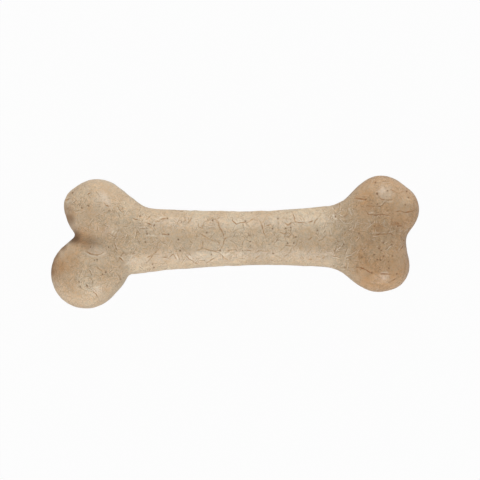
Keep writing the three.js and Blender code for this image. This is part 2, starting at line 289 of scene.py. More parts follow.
# Small dark pits on the upper side.
PITS = {
    "shaft": (140, 216, 167.4, 218, 168.7, 234.1, 147, 233.6, 154.3, 225.1, 245.3, 220.9, 272.6, 228.5,
              285.7, 228.2, 290.5, 227.2, 277.9, 218.3, 317.3, 230.1, 295.9, 236.8, 293.7, 242.5,
              287.3, 243.2, 250.6, 241.3, 335.4, 216.3, 145.4, 241.9, 180.2, 250.5, 152.4, 264.2, 154, 267.4,
              211.4, 254.3, 178.3, 239.4, 206.6, 232.3, 212.7, 219.9, 220, 250.5, 273.3, 253.4),
    "broad knuckle": (102.4, 274.2, 105.9, 272.1, 78.8, 281.6, 87.1, 285.5, 88.7, 205.5, 81.7, 207.7,
                      72.7, 192.4, 97.3, 259.6, 94.4, 260, 108.8, 246.9, 90.3, 246.9, 80.1, 286.4),
    "narrow knuckle": (359, 233.3, 374.6, 226.2, 397.9, 226.2, 374, 254.8, 377.2, 259.3, 380.4, 259.9,
                       388.4, 261.4, 383.3, 242.3, 378.8, 248.4, 381.3, 250.3, 391.9, 244.6, 383.6, 255.7,
                       392.2, 255.4, 388.7, 268.2, 396.8, 273.9, 361.6, 256.7, 371.8, 272.6, 345, 267.2,
                       375.4, 182.2, 376.9, 193.7, 387.4, 190.5, 377.5, 203.9, 365.7, 199.4, 408.4, 197.3,
                       405.3, 204.8, 406.8, 191.1),
}

# Patches on the upper side: middle and radius in the photograph, and how strong. First browner ones; those in
# the notch, on the lower left lobe, along the left edges and in the hollow spot are painted shade, and the
# lower left crown is lightened as a painted highlight.
TAN_AND_PAINTED_LIGHT_PATCHES = {
    "upper left edge": (68, 213, 10, 0.5),
    "upper left lobe": (87, 213, 10, 0.1),
    "notch": (82, 238, 14, 0.4),
    "lower left lobe": (70, 260, 15, 0.4),
    "lower left crown": (88, 285, 13, -0.32),
    "lower left edge": (66, 284, 12, 0.15),
    "left edge": (54, 268, 14, 0.55),
    "upper right side": (365, 199, 13, 0.18),
    "upper left plates": (196, 213, 15, -0.2),
    "upper plates": (238, 220, 17, -0.32),
    "upper right plates": (310, 212, 15, -0.28),
    "hollow spot": (378, 228, 6, 0.6),
    "lower right lobe": (384, 266, 15, 0.1),
    "lower right side": (358, 260, 14, 0.22),
    "upper right edge": (402, 206, 14, -0.18),
}

# Painted shade: dark brown patches in the notch and the grooves between the lobes, along the left rim and in
# the narrow knuckle's hollow, where shade falls.
PAINTED_SHADE = {
    "notch": (74, 237, 8, 0.72),
    "groove": (92, 240, 10, 0.1),
    "groove end": (104, 232, 7, 0.25),
    "groove foot": (89, 251, 9, 0.18),
    "rim under the notch": (62, 246, 6, 0.62),
    "rim of the lower left lobe": (55, 254, 6, 0.62),
    "rim at the side": (51, 262, 6, 0.5),
    "rim below": (49, 271, 7, 0.55),
    "rim of the upper left lobe": (69, 220, 7, 0.45),
    "hollow spot": (378, 229, 5, 0.12),
}

# Greyer patches full of short strokes.
GREY_PATCHES = {
    "left neck": (130, 235, 25, 0.4),
    "left lobes": (108, 260, 15, 0.1),
    "hollow": (374, 232, 24, 0.75),
    "hollow end": (396, 238, 16, 0.65),
    "right neck": (350, 222, 14, 0.5),
    "right neck top": (334, 216, 10, 0.8),
    "shaft lower edge": (258, 260, 18, 0.6),
    "star": (136, 213, 7, 0.45),
    "hollow foot": (371, 256, 8, 0.45),
    "shaft middle left": (182, 246, 14, 0.45),
    "shaft upper middle": (207, 225, 10, 0.35),
    "shaft lower right end": (285, 257, 12, 0.45),
    "shaft lower right": (308, 246, 16, 0.35),
    "right neck foot": (325, 253, 10, 0.75),
}

# Painted highlights: pale spots on the shaft's glints and on the crowns of the lobes.
PAINTED_HIGHLIGHTS = {
    "bend": (190, 257, 3, 0.6),
    "crossing": (223, 254, 3, 0.45),
    "hook": (177, 257, 2.2, 0.5),
    "short glint": (240.6, 254, 2.5, 0.5),
    "upper right crown": (386, 193, 10, 0.33),
    "plate glow": (196, 257, 8, 0.22),
    "lower plate glow": (255, 250, 7, 0.18),
    "upper left crown": (101, 202, 12, 0.2),
    "lower right crown": (386, 279, 5, 0.15),
}

# Smooth patches with few strokes.
SMOOTH_PATCHES = {
    "lower left lobe": (68, 254, 13, 1.0),
    "upper left top": (110, 189, 12, 0.9),
    "upper left lobe": (91, 213, 9, 0.6),
    "left neck foot": (121, 270, 7, 0.6),
    "upper right lobe": (403, 209, 13, 1.0),
    "upper right side": (365, 188, 10, 0.9),
    "lower right lobe": (396, 264, 11, 0.9),
    "lower right side": (362, 279, 10, 0.8),
    "lower right edge": (397, 285, 9, 0.8),
    "shaft plate": (208, 256, 7, 0.6),
    "shaft middle": (175, 233, 7, 0.6),
}

# The lamps: the way to each, turning from the narrow end, and its height over the floor in degrees, its width
# in metres, and whether the skin shows a glint of it.
LAMPS = {
    "upper_glint": (87, 29, 0.58, True),
    "lower_glint": (273, 24, 0.58, True),
    "upper_fill": (90, 12, 0.5, False),
    "lower_fill": (270, 12, 0.5, False),
    "right_upper_fill": (30, 12, 0.5, False),
    "right_lower_fill": (340, 12, 0.5, False),
    "left_fill": (218, 22, 0.5, False),
    "high_fill": (170, 54, 0.5, False),
}

# The kinds of drawn lines, with their half widths in pixels.
DRAWN = ((DEEP_CRACKS, 0.5), (FAINT_CRACKS, 0.55), (HAIR_CRACKS, 0.55), (RIDGES, 0.8), (FAINT_RIDGES, 0.65))


def srgb(*card):
    """A colour of a colour card, 0 to 255, as linear values."""
    return tuple((c / 255 / 12.92) if c <= 10 else ((c / 255 + 0.055) / 1.055) ** 2.4 for c in card)


def length(name, description, default, low, high):
    """A length in the panel, given in millimetres."""
    return FloatProperty(name=name, description=description, default=default * MM, min=low * MM,
                         max=high * MM, precision=5, unit="LENGTH")


def colour(name, description, default):
    """A colour in the panel."""
    return FloatVectorProperty(name=name, description=description, default=default, min=0, max=1, size=3,
                               subtype="COLOR")


def power(name, description, default):
    """A lamp's power in the panel."""
    return FloatProperty(name=name, description=description, default=default, min=0, max=500, unit="POWER")


class BoneSkinSettings(bpy.types.PropertyGroup):
    """Sizes of the skin and its relief"""
    voxel: length("Voxel", "Fineness of the cast skin", 0.42, 0.3, 2)
    smoothing: IntProperty(name="Smoothing", description="Passes that take the facets off the solids",
                           default=14, min=0, max=200)
    plate: length("Plate", "Size of the plates between the cracks", 8.5, 3, 30)
    crack_depth: length("Crack depth", "Depth of a full crack", 0.025, 0, 1)
    crack_width: length("Crack width", "Half width of a crack", 0.26, 0.1, 1)
    plate_lean: length("Plate lean", "How far the plates stand or lean out of the skin", 0.16, 0, 1)
    lump: length("Lumps", "Height of the soft lumps in the moulding", 0.22, 0, 1)
    wrinkle: length("Wrinkles", "Height of the fine wrinkles", 0.045, 0, 0.3)
    pit_depth: length("Pit depth", "Depth of the small pits", 0.13, 0, 1)
    pit_radius: length("Pit radius", "Radius of the small pits", 0.42, 0.1, 2)
    pit_count: IntProperty(name="Pits", description="Pits strewn over the bone", default=320, min=0, max=5000)
    ridge: length("Ridges", "Height of the pale raised lines", 0.06, 0, 1)


class BoneColourSettings(bpy.types.PropertyGroup):
    """Colours of the two compounds and of what lies in their cracks"""
    cream: colour("Cream", "Pale compound", srgb(218, 199, 172))
    tan: colour("Tan", "Brown of the knuckles", srgb(191, 153, 114))
    grey: colour("Grey", "Dull zone at the narrow neck", srgb(177, 154, 126))
    warm: colour("Warm", "Tint of the warm mottling", (1.0, 0.87, 0.7))
    cool: colour("Cool", "Tint of the cool mottling", (0.88, 0.93, 0.99))
    stroke: colour("Stroke", "Brown strokes and hairlines", srgb(164, 126, 88))
    crack: colour("Crack", "Tint of the dirt in the cracks", (0.5, 0.24, 0.02))
    # The dark brown of pits and specks; in the grooves and along the rims the same brown is painted shade.
    grime: colour("Grime", "Grime in pits and in the grooves between the lobes", srgb(116, 74, 34))
    pale: colour("Pale", "Worn ridges and lips", srgb(234, 222, 202))
    # Pale of the ridges, and the colour of the painted highlights on lips, glints and crowns.
    floor: colour("Floor", "Floor under the bone", (0.35, 0.35, 0.35))


class BoneStageSettings(bpy.types.PropertyGroup):
    """Camera and lights, placed as the photograph shows the bone"""
    distance: length("Camera height", "Height of the camera over the bone", 3000, 500, 10000)
    view_width: length("View width", "Width of the view at the bone's middle height", 247.2, 50, 2000)
    lamp_distance: length("Lamp distance", "From the middle of the bone to each lamp", 1100, 300, 5000)
    upper_glint: power("Upper glint", "Lamp above the bone, which glints", 3.3)
    lower_glint: power("Lower glint", "Lamp below the bone, which glints", 3.35)
    upper_fill: power("Upper fill", "Low lamp above the bone", 5.7)
    lower_fill: power("Lower fill", "Low lamp below the bone", 2.6)
    right_upper_fill: power("Right upper fill", "Low lamp right of the bone and above it", 2.2)
    right_lower_fill: power("Right lower fill", "Low lamp right of the bone and below it", 4.0)
    left_fill: power("Left fill", "Lamp left of the bone and below it", 4.4)
    high_fill: power("High fill", "High lamp over the broad knuckle", 2.6)
    ambient: FloatProperty(name="Ambient", description="Strength of the plain light from all round",
                           default=0.04, min=0, max=2)


def smoothstep(low, high, values):
    """0 below low, 1 above high, and a soft step between them."""
    t = np.clip((values - low) / (high - low), 0, 1)
    return t * t * (3 - 2 * t)


def at_least(low, share):
    """From low where a share is 0 to 1 where it is 1."""
    return low + (1 - low) * share


def soft_noise(points, size, seed):
    """Smooth noise of about -1 to 1, with lumps of this size."""
    return np.array([noise.noise(p) for p in (points / size + seed).tolist()])


def soft_noise_vector(points, size, seed):
    """Three smooth noises at once, to shift points by; without a seed they differ each run."""
    noise.seed_set(NOISE_SEED)
    return np.array([noise.noise_vector(p)[:] for p in (points / size + seed).tolist()])


def bmesh_of(*meshes):
    """One new bmesh of these meshes."""
    bm = bmesh.new()
    for mesh in meshes:
        bm.from_mesh(mesh)
    return bm


def mesh_of(bm, name):
    """A new mesh of a bmesh that isn't needed any more."""
    mesh = bpy.data.meshes.new(name)
    bm.to_mesh(mesh)
    bm.free()
    return mesh


def merged_copy(*names):
    """One bmesh of these CAD nodes, with their loose triangles merged."""
    bm = bmesh_of(*(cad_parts[name].data for name in names))
    bmesh.ops.remove_doubles(bm, verts=bm.verts, dist=MERGE)
    return bm


def linked(name, data):
    """A new object in the scene."""
    piece = bpy.data.objects.new(name, data)
    bpy.context.scene.collection.objects.link(piece)
    return piece


def evaluated(piece):
    """The piece's mesh after its modifiers."""
    bpy.context.view_layer.update()
    graph = bpy.context.evaluated_depsgraph_get()
    return bpy.data.meshes.new_from_object(piece.evaluated_get(graph))


def coordinates(mesh, what="co"):
    """Positions or normals of a mesh's points."""
    flat = np.zeros(len(mesh.vertices) * 3, np.float32)
    mesh.vertices.foreach_get(what, flat)
    return flat.reshape(-1, 3).astype(float)


def search_tree(places):
    """A tree that finds the nearest of these places."""
    tree = kdtree.KDTree(len(places))
    for index, place in enumerate(places.tolist()):
        tree.insert(place, index)
    tree.balance()
    return tree


def keep_largest_shell(bm):
    """Deletes what the remesh leaves inside the bone."""
    left = set(bm.verts)
    shells = []
    while left:
        stack = [left.pop()]
        shell = list(stack)
        while stack:
            for edge in stack.pop().link_edges:
                for vert in edge.verts:
                    if vert in left:
                        left.remove(vert)
                        stack.append(vert)
                        shell.append(vert)
        shells.append(shell)
    shells.sort(key=len)
    bmesh.ops.delete(bm, geom=[v for shell in shells[:-1] for v in shell], context="VERTS")


def photo_place(points, stage):
    """Where points of the bone appear in the photograph, in pixels."""
    c, s = math.cos(PHOTO_TILT), math.sin(PHOTO_TILT)
    depth = stage.distance / (stage.distance + PHOTO_MIDDLE.z - points[:, 2])
    dx, dy = (points[:, 0] - PHOTO_MIDDLE.x) * depth, (points[:, 1] - PHOTO_MIDDLE.y) * depth
    pixel = stage.view_width / PHOTO_SIDE
    across = (c * dx - s * dy) / pixel + PHOTO_SIDE / 2
    return np.stack([across, PHOTO_SIDE / 2 - (s * dx + c * dy) / pixel], 1)


def line_distance(places, line):
    """Distance from places to a line of points, and how far along it they are, 0 to 1."""
    lengths = np.linalg.norm(line[1:] - line[:-1], axis=1)
    before = np.concatenate([[0], np.cumsum(lengths)])
    nearest = np.full(len(places), np.inf)
    along = np.zeros(len(places))
    for start, end, extent, so_far in zip(line, line[1:], lengths, before):
        t = np.clip(((places - start) @ (end - start)) / extent ** 2, 0, 1)
        gap = np.linalg.norm(places - start - t[:, None] * (end - start), axis=1)
        closer = gap < nearest
        nearest = np.where(closer, gap, nearest)
        along = np.where(closer, (so_far + t * extent) / before[-1], along)
    return nearest, along


def line_profile(gap, width):
    """How strongly a place at a gap from a line lies on it, and on its lip."""
    return np.exp(-(gap / width) ** 2), np.exp(-((gap - LIP_OFFSET * width) / width) ** 2)


def drawn_lines(places, facing, lines, width):
    """How strongly each place lies on drawn lines and on their lips, 0 to 1."""
    strength, lips = np.zeros(len(places)), np.zeros(len(places))
    for line in lines.values():
        line = np.array(line, float).reshape(-1, 2)
        low, high = line.min(0) - LINE_REACH, line.max(0) + LINE_REACH
        near = np.flatnonzero(facing & ((places > low) & (places < high)).all(1))
        gap, along = line_distance(places[near], line)
        ends = at_least(LINE_END, smoothstep(0, LINE_TAPER, along) * smoothstep(0, LINE_TAPER, 1 - along))
        on_line, on_lip = line_profile(gap, width)
        strength[near] = np.maximum(strength[near], on_line * ends)
        lips[near] = np.maximum(lips[near], on_lip * ends)
    return strength, lips


def plates(points, size, seed):
    """Irregular plates: each point's own and its neighbours, the way to their borders and from the middle."""
    cells = np.floor(points / size).astype(int)
    low = cells.min(0) - 1
    shape = cells.max(0) - low + 2
    seeds = np.random.default_rng(seed).random((*shape, 3))
    around = np.array([(i, j, k) for i in (-1, 0, 1) for j in (-1, 0, 1) for k in (-1, 0, 1)])
    squares = np.zeros((len(points), len(around)), np.float32)
    ids = np.zeros((len(points), len(around)), int)
    for column, step in enumerate(around):
        cell = cells + step - low
        centre = (cells + step + seeds[tuple(cell.T)]) * size
        squares[:, column] = ((points - centre) ** 2).sum(1)
        ids[:, column] = np.ravel_multi_index(cell.T, shape)
    ids = np.take_along_axis(ids, np.argsort(squares, axis=1)[:, :4], 1)
    cell = np.unravel_index(ids, shape)
    centres = (np.stack(cell, -1) + low + seeds[cell]) * size
    own = centres[:, :1]
    apart = np.linalg.norm(centres[:, 1:] - own, axis=2)
    middle = (centres[:, 1:] + own) / 2
    border = ((middle - points[:, None]) * (centres[:, 1:] - own)).sum(2) / apart
    return ids, border, points - own[:, 0]


def chance(ids, others, salt):
    """The same number, 0 to 1, for a pair of plates from either side."""
    low, high = np.minimum(ids, others), np.maximum(ids, others)
    return np.modf(np.abs(np.sin(low * HASH[0] + high * HASH[1] + salt) * HASH[2]))[0]


def grown_cracks(points, facing, shaft, skin):
    """Cracks between plates over the whole bone, the lips beside them, and how the plates stand."""
    bend = soft_noise_vector(points, *PLATE_BEND) * BEND_REACH * MM
    fray = soft_noise_vector(points, *PLATE_FRAY) * FRAY_REACH * MM
    ids, border, offset = plates(points + (bend + fray), skin.plate, PLATE_SEED)
    share = (0.25 + 0.3 * shaft) * np.where(facing, 0.4, 1.0)
    cracks, lips = np.zeros(len(points)), np.zeros(len(points))
    for column in range(3):
        luck = chance(ids[:, 0], ids[:, column + 1], CRACK_SALT)
        size = np.where(luck < share, 0.35 + 0.65 * (share - luck) / share, 0)
        on_line, on_lip = line_profile(border[:, column], skin.crack_width)
        cracks = np.maximum(cracks, on_line * size)
        lips = np.maximum(lips, on_lip * size)
    fade = smoothstep(-0.4, 0.15, soft_noise(points, *CRACK_GAPS))
    lean = np.random.default_rng(LEAN_SEED).normal(size=(ids.max() + 1, 3))[ids[:, 0]]
    stand = np.clip((offset * lean).sum(1) / skin.plate * 1.8, -1, 1) * smoothstep(0, 1.4 * MM, border[:, 0])
    return cracks * fade, lips * fade, stand


def strewn_spots(points, skin):
    """Middles and radii of the strewn pits."""
    rng = np.random.default_rng(PIT_SEED)
    spots = points[rng.choice(len(points), skin.pit_count, replace=False)]
    return spots, skin.pit_radius * (0.5 + 0.6 * rng.random(len(spots)))


def pitted(points, facing, drawn_at, strewn, skin, stage):
    """Small round pits, drawn on the upper side and strewn everywhere."""
    spots, radii = strewn
    tree = search_tree(spots)
    found = [tree.find(p)[1:] for p in points.tolist()]
    gaps = np.array([f[1] for f in found])
    pits = np.exp(-(gaps / radii[[f[0] for f in found]]) ** 2) * np.where(facing, STREWN_ABOVE, 1)
    pixel = stage.view_width / PHOTO_SIDE
    for spot in np.concatenate([*PITS.values()]).reshape(-1, 2):
        gap = np.linalg.norm(drawn_at - spot, axis=1) * pixel
        pits = np.maximum(pits, np.exp(-(gap / skin.pit_radius) ** 2) * facing)
    return pits


def patches(places, weight, spots):
    """How strongly each place lies in soft round patches."""
    total = np.zeros(len(places))
    for across, down, radius, amount in spots.values():
        gap = np.linalg.norm(places - (across, down), axis=1)
        total += amount * (1 - smoothstep(0.3 * radius, 1.2 * radius, gap)) * weight
    return total


def brown_share(points, places, upward):
    """How brown the compound is, from cream at 0 to tan at 1; some of its patches are painted shade, and one
    lightens a crown as a painted highlight.
    """
    x = points[:, 0]
    brown = NARROW_BROWN * smoothstep(*NARROW_TAN, x) + BROAD_BROWN * smoothstep(*BROAD_TAN, -x)
    brown = brown + patches(places, upward, TAN_AND_PAINTED_LIGHT_PATCHES)
    clouds = soft_noise(points, *BROAD_CLOUDS) * 0.6 + soft_noise(points, *SMALL_CLOUDS) * 0.4
    return np.clip(brown + PLAIN_BROWN + CLOUD_BROWN * clouds, 0, 1)


def smooth_share(points, places, upward, dull):
    """How smooth the skin is, from full of strokes at 0 to plain at 1."""
    clouds = soft_noise(points, *SMOOTH_CLOUDS)
    return np.clip(0.35 + 0.9 * clouds - 0.4 * dull + patches(places, upward, SMOOTH_PATCHES), 0, 1)


def relief(points, normals, strewn, skin, stage):
    """Height of the relief at each point of the smooth skin, and the masks that colour it."""
    x, z = points[:, 0], points[:, 2]
    places = photo_place(points, stage)
    drawn_at = places + soft_noise_vector(points, *LINE_WAVER)[:, :2] * WAVER - DRAWN_LOWER
    facing = normals[:, 2] > LINE_EDGE
    upward = smoothstep(*PATCH_EDGE, normals[:, 2])
    shaft = smoothstep(*SHAFT_ENDS, x) * smoothstep(*SHAFT_ENDS, -x)

    lines, line_lips = zip(*(drawn_lines(drawn_at, facing, *kind) for kind in DRAWN))
    deep, faint, hair, ridges, faint_ridges = lines
    grown, grown_lips, stand = grown_cracks(points, facing, shaft, skin)
    ragged = at_least(0.35, smoothstep(-0.3, 0.3, soft_noise(points, *CRACK_EDGES)))
    cracks = np.maximum.reduce([deep, FAINT * faint, HAIR * hair, GROWN * grown])
    cracks = cracks * (1.28 - 0.2 * shaft) * at_least(0.25, ragged)
    lips = np.maximum.reduce([line_lips[0], FAINT * line_lips[1], 0.5 * grown_lips]) * ragged
    ridges = np.maximum(ridges, FAINT_RIDGE * faint_ridges)
    ridges = ridges * at_least(0.3, ragged) * (1 - 0.25 * smoothstep(*RIDGE_FADE, x))
    pits = pitted(points, facing, drawn_at, strewn, skin, stage)

    lumps = soft_noise(points, *BROAD_LUMPS) * 0.6 + soft_noise(points, *SMALL_LUMPS) * 0.3
    wrinkles = soft_noise(points * (0.7, 1, 1), *LONG_WRINKLES) + 0.5 * soft_noise(points, *SHORT_WRINKLES)
    height = (lumps * skin.lump + stand * skin.plate_lean * at_least(0.3, shaft) + wrinkles * skin.wrinkle
              + np.maximum(ridges, 0.45 * lips) * skin.ridge
              - cracks * skin.crack_depth - pits * skin.pit_depth)
    dull = smoothstep(*DULL_START, x) * smoothstep(*DULL_END, -x)
    dull = np.clip(np.maximum(dull, patches(places, upward, GREY_PATCHES)), 0, 1)
    brown = brown_share(points, places, upward)
    # The pale on the lips beside cracks is painted light caught by their raised edge, fainter on browner skin.
    lip_highlights = 0.4 * lips * (1 - 0.7 * brown)
    # The groove and rim patches are painted shade, full on the upper side and fainter towards the floor.
    shade_height = at_least(0.3, smoothstep(*SHADE_RISE, z))
    return height * smoothstep(*LAND_RIM, z), {
        "crack": cracks,
        "pit": pits,
        # Pale ridges, and painted highlights on crack lips, glints and crowns.
        "pale": np.maximum.reduce([ridges, lip_highlights, patches(places, upward, PAINTED_HIGHLIGHTS)]),
        "tan": brown,
        "dull": dull,
        "grime": patches(places, shade_height, PAINTED_SHADE),
        "smooth": smooth_share(points, places, upward, dull),
    }


def detail_level(masks):
    """How fine the faces have to be: 1 on lines, 2 in the middle of pits, and 0 elsewhere."""
    lines = np.logical_or.reduce([masks[name] > least for name, least in FINER.items()])
    return np.where(masks["pit"] > FINEST_PIT, 2, np.where(lines, 1, 0))


def skin_blank(scene):
    """The whole bone's skin as one closed mesh with its relief, made once."""
    if BLANK in bpy.data.meshes:
        return bpy.data.meshes[BLANK]
    skin, stage = scene.bone_skin, scene.bone_stage
    mesh = mesh_of(merged_copy(*sorted(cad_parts)), "solids")
    cast = linked("cast", mesh)
    remesh = cast.modifiers.new("remesh", "REMESH")
    remesh.mode = "VOXEL"
    remesh.voxel_size = skin.voxel
    smooth = cast.modifiers.new("smooth", "SMOOTH")
    smooth.iterations = skin.smoothing
    blank = evaluated(cast)
    blank.name = BLANK
    bpy.data.objects.remove(cast)
    bpy.data.meshes.remove(mesh)

    bm = bmesh_of(blank)
    keep_largest_shell(bm)
    bm.to_mesh(blank)
    points, normals = coordinates(blank), coordinates(blank, "normal")
    strewn = strewn_spots(points, skin)
    fine = detail_level(relief(points, normals, strewn, skin, stage)[1])
    bm.verts.index_update()
    wanted = [(e, max(fine[v.index] for v in e.verts)) for e in bm.edges]
    for level, cuts in ((2, 3), (1, 1)):
        edges = [e for e, need in wanted if need == level]
        bmesh.ops.subdivide_edges(bm, edges=edges, cuts=cuts, use_grid_fill=True)
    bmesh.ops.triangulate(bm, faces=bm.faces)
    bm.to_mesh(blank)
    bm.free()

    points, normals = coordinates(blank), coordinates(blank, "normal")
    height, masks = relief(points, normals, strewn, skin, stage)
    points = np.clip(points + normals * height[:, None], *CAD_BOX)
    blank.vertices.foreach_set("co", points.astype(np.float32).ravel())
    for name, values in masks.items():
        blank.attributes.new(name, "FLOAT", "POINT").data.foreach_set("value", values.astype(np.float32))
    blank.update()
    return blank


def swollen_solid(name, blank):
    """A CAD node as a cutter: its outside stands clear of the skin, and its joint faces stay."""
    bm = bmesh_of(blank)
    skin_tree = BVHTree.FromBMesh(bm)
    bm.free()
    bm = merged_copy(name)
    for vert in bm.verts:
        _, normal, _, gap = skin_tree.find_nearest(vert.co)
        if gap < OUTSIDE_GAP:
            vert.co += normal * CLEAR_OF_SKIN
    return linked(name + "_cutter", mesh_of(bm, name + "_cutter"))


def carry_masks(blank, mesh):
    """Gives each point of a cut piece the masks of the skin's nearest point."""
    tree = search_tree(coordinates(blank))
    nearest = [tree.find(place)[1] for place in coordinates(mesh).tolist()]
    for name in MASKS:
        values = np.zeros(len(blank.vertices), np.float32)
        blank.attributes[name].data.foreach_get("value", values)
        mask = mesh.attributes.get(name) or mesh.attributes.new(name, "FLOAT", "POINT")
        mask.data.foreach_set("value", values[nearest])


def cut_piece(name, scene, cutters, operation, slot):
    """Cuts one piece out of the skin and hands it to the frame."""
    blank = skin_blank(scene)
    body = linked(name + "_blank", blank.copy())
    tools = [swollen_solid(cutter, blank) for cutter in cutters]
    for tool in tools:
        cut = body.modifiers.new("cut", "BOOLEAN")
        cut.solver = "MANIFOLD"
        cut.operation = operation
        cut.object = tool
    mesh = evaluated(body)
    for used in (body, *tools):
        data = used.data
        bpy.data.objects.remove(used)
        bpy.data.meshes.remove(data)
    bm = bmesh_of(mesh)
    if not bm.faces or any(not edge.is_manifold for edge in bm.edges):
        raise RuntimeError(f"{name} didn't come out of the skin as a closed piece")
    bmesh.ops.triangulate(bm, faces=bm.faces)
    bm.to_mesh(mesh)
    bm.free()
    carry_masks(blank, mesh)
    mesh.shade_smooth()
    mesh.set_sharp_from_angle(angle=SHARP_ANGLE)
    mesh.materials.clear()
    mesh.materials.append(bone_material(scene, *COMPOUNDS[slot]))
    mesh.name = name + "_skin"
    piece = linked(name + "_skin", mesh)
    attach(piece, "root")
    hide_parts(name)


class Nodes:
    """Adds nodes to one shader tree and gives back their outputs"""

    def __init__(self, tree):
        self.tree = tree

    def feed(self, socket, value):
        """Gives a socket another node's output, or a value of its own."""
        if isinstance(value, bpy.types.NodeSocket):
            self.tree.links.new(value, socket)
        elif socket.type == "RGBA" and len(value) == 3:
            socket.default_value = (*value, 1)
        else:
            socket.default_value = value

    def add(self, kind, inputs=(), **settings):
        """The outputs of a node with these inputs and settings."""
        made = self.tree.nodes.new(kind)
        for key, value in settings.items():
            setattr(made, key, value)
        for key, value in dict(inputs).items():
            self.feed(made.inputs[key], value)
        return made.outputs

    def calc(self, operation, *values, clamp=False):
        """One step of arithmetic."""
        return self.add("ShaderNodeMath", enumerate(values), operation=operation, use_clamp=clamp)[0]

    plus = partialmethod(calc, "ADD")
    minus = partialmethod(calc, "SUBTRACT")
    times = partialmethod(calc, "MULTIPLY")
    larger = partialmethod(calc, "MAXIMUM")

    def vector(self, operation, first, second):
        """A vector with another vector, or scaled by a number."""
        other = "Scale" if operation == "SCALE" else 1
        return self.add("ShaderNodeVectorMath", {0: first, other: second}, operation=operation)[0]

    def ramp(self, value, low, high):
        """A soft step of a value from 0 at low to 1 at high."""
        return self.add("ShaderNodeMapRange", {0: value, 1: low, 2: high}, interpolation_type="SMOOTHSTEP")[0]

    def fall(self, value, low, high):
        """A soft step of a value from 1 at low to 0 at high."""
        return self.minus(1.0, self.ramp(value, low, high))

    def noise(self, vector, size, detail=2.0, roughness=0.5):
        """Noise of about 0 to 1, with lumps of this size."""
        return self.add("ShaderNodeTexNoise", {"Vector": vector, "Scale": 1 / size, "Detail": detail,
                                               "Roughness": roughness})

    def mix(self, factor, first, second, blend="MIX"):
        """Two colours mixed."""
        inputs = {0: factor, 6: first, 7: second}
        return self.add("ShaderNodeMix", inputs, data_type="RGBA", blend_type=blend)[2]


def new_group(name, outputs):
    """A shader node group from a vector to named values: its nodes, the vector and the results."""
    group = bpy.data.node_groups.new(name, "ShaderNodeTree")
    group.interface.new_socket("Vector", in_out="INPUT", socket_type="NodeSocketVector")
    for label in outputs:
        group.interface.new_socket(label, in_out="OUTPUT", socket_type="NodeSocketFloat")
    vector = group.nodes.new("NodeGroupInput").outputs["Vector"]
    return Nodes(group), vector, group.nodes.new("NodeGroupOutput").inputs


def stroke_cells(nodes, vector, size, width, reach):
    """Short strokes lying every way, one to a cell: the groove of each, and the lip beside it; the brown groove
    is partly painted shade and the pale lip painted light of a small raised edge.
    """
    spread = nodes.vector("SCALE", vector, 1 / size)
    cells = nodes.add("ShaderNodeTexVoronoi", {"Vector": spread, "Scale": 1.0})
    luck = nodes.add("ShaderNodeSeparateColor", {0: cells["Color"]})
    turn = nodes.times(luck["Red"], 2 * math.pi)
    way = nodes.add("ShaderNodeCombineXYZ", {0: nodes.calc("COSINE", turn), 1: nodes.calc("SINE", turn)})[0]
    away = nodes.vector("SUBTRACT", spread, cells["Position"])
    across = nodes.add("ShaderNodeVectorMath", {0: away, 1: way}, operation="DOT_PRODUCT")["Value"]
    here = nodes.times(nodes.fall(cells["Distance"], 0.7 * reach, reach), nodes.ramp(luck["Green"], 0.1, 0.8))
    lines = []
    for middle in (0, 1.7 * width):
        gap = nodes.calc("ABSOLUTE", nodes.minus(across, middle))
        lines.append(nodes.times(nodes.fall(gap, 0.3 * width, width), here))
    return lines


def strokes_group():
    """Short strokes like fibres in the skin, a net of hairlines, and specks."""
    if "bone_strokes" in bpy.data.node_groups:
        return bpy.data.node_groups["bone_strokes"]
    nodes, vector, result = new_group("bone_strokes", ("groove", "lip", "hairlines", "specks"))
    curl = nodes.vector("SUBTRACT", nodes.noise(vector, 2.2 * MM)["Color"], (0.5, 0.5, 0.5))

    def bent(amount):
        return nodes.vector("ADD", vector, nodes.vector("SCALE", curl, amount))

    groove, lip = 0.0, 0.0
    for size, bend, width, reach, shift, strength in STROKES.values():
        lines = stroke_cells(nodes, nodes.vector("ADD", bent(bend), shift), size, width, reach)
        groove = nodes.larger(groove, nodes.times(lines[0], strength))
        lip = nodes.larger(lip, nodes.times(lines[1], strength))
    nodes.feed(result["groove"], groove)
    nodes.feed(result["lip"], lip)
    net = nodes.add("ShaderNodeTexVoronoi", {"Vector": bent(2.4 * MM), "Scale": 1 / (5.2 * MM)},
                    feature="DISTANCE_TO_EDGE")
    gaps = nodes.ramp(nodes.noise(vector, 4.5 * MM, 1.0)["Fac"], 0.5, 0.6)
    nodes.feed(result["hairlines"], nodes.times(nodes.fall(net["Distance"], 0.012, 0.045), gaps))
    dots = nodes.add("ShaderNodeTexVoronoi", {"Vector": bent(0.8 * MM), "Scale": 1 / (3.4 * MM)})
    nodes.feed(result["specks"], nodes.fall(dots["Distance"], 0.06, 0.17))
    return nodes.tree


